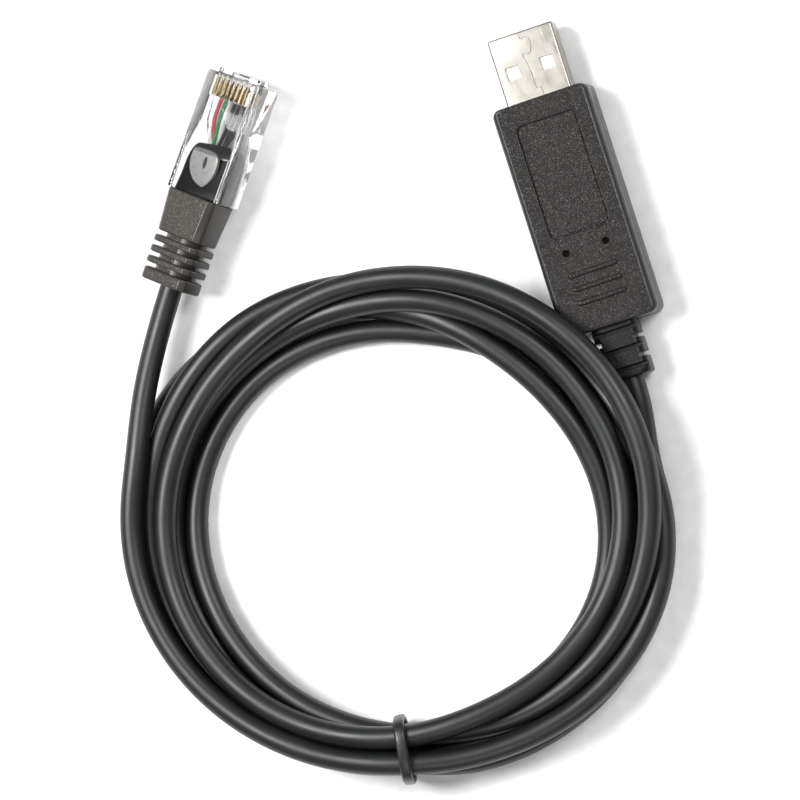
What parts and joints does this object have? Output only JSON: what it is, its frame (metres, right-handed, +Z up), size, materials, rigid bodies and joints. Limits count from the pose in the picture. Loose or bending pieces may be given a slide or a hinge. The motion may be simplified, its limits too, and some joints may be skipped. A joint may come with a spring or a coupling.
{
  "type": "usb to serial cable",
  "caption": "Coiled black serial cable with a USB-A plug in a moulded converter housing at one end and a clear modular plug in a ribbed boot at the other.",
  "frame": {"origin": "middle of the converter housing's flat underside, on the floor", "axes": "+Y the way the USB plug is pushed in, +Z up from the floor, +X across the housing"},
  "size_m": [0.1054, 0.1316, 0.0155],
  "materials": {
    "plated_steel": "satin",
    "white_insulator": "satin",
    "gold_contact": "polished",
    "black_housing": "fine pebble grain",
    "black_relief": "smooth matt",
    "black_jacket": "satin",
    "black_tie": "satin",
    "black_boot": "fine pebble grain",
    "clear_plug": "clear polycarbonate",
    "wire_insulation": "coloured by wire"
  },
  "bodies": {
    "root": {"usb_shell": "plated_steel", "usb_tongue": "white_insulator", "usb_housing": "black_housing", "usb_strain_relief": "black_relief", "cable_usb_lead": "black_jacket", "cable_coil": "black_jacket", "cable_plug_lead": "black_jacket", "coil_tie": "black_tie", "rj45_boot": "black_boot", "rj45_jacket_end": "black_jacket", "rj45_body": "clear_plug", "usb_contact_1": "gold_contact", "usb_contact_2": "gold_contact", "usb_contact_3": "gold_contact", "usb_contact_4": "gold_contact", "rj45_contact_1": "gold_contact", "rj45_contact_2": "gold_contact", "rj45_contact_3": "gold_contact", "rj45_contact_4": "gold_contact", "rj45_contact_5": "gold_contact", "rj45_contact_6": "gold_contact", "rj45_contact_7": "gold_contact", "rj45_contact_8": "gold_contact", "rj45_wire_1": "wire_insulation", "rj45_wire_2": "wire_insulation", "rj45_wire_3": "wire_insulation", "rj45_wire_4": "wire_insulation", "rj45_wire_5": "wire_insulation", "rj45_wire_6": "wire_insulation"}
  },
  "joints": []
}
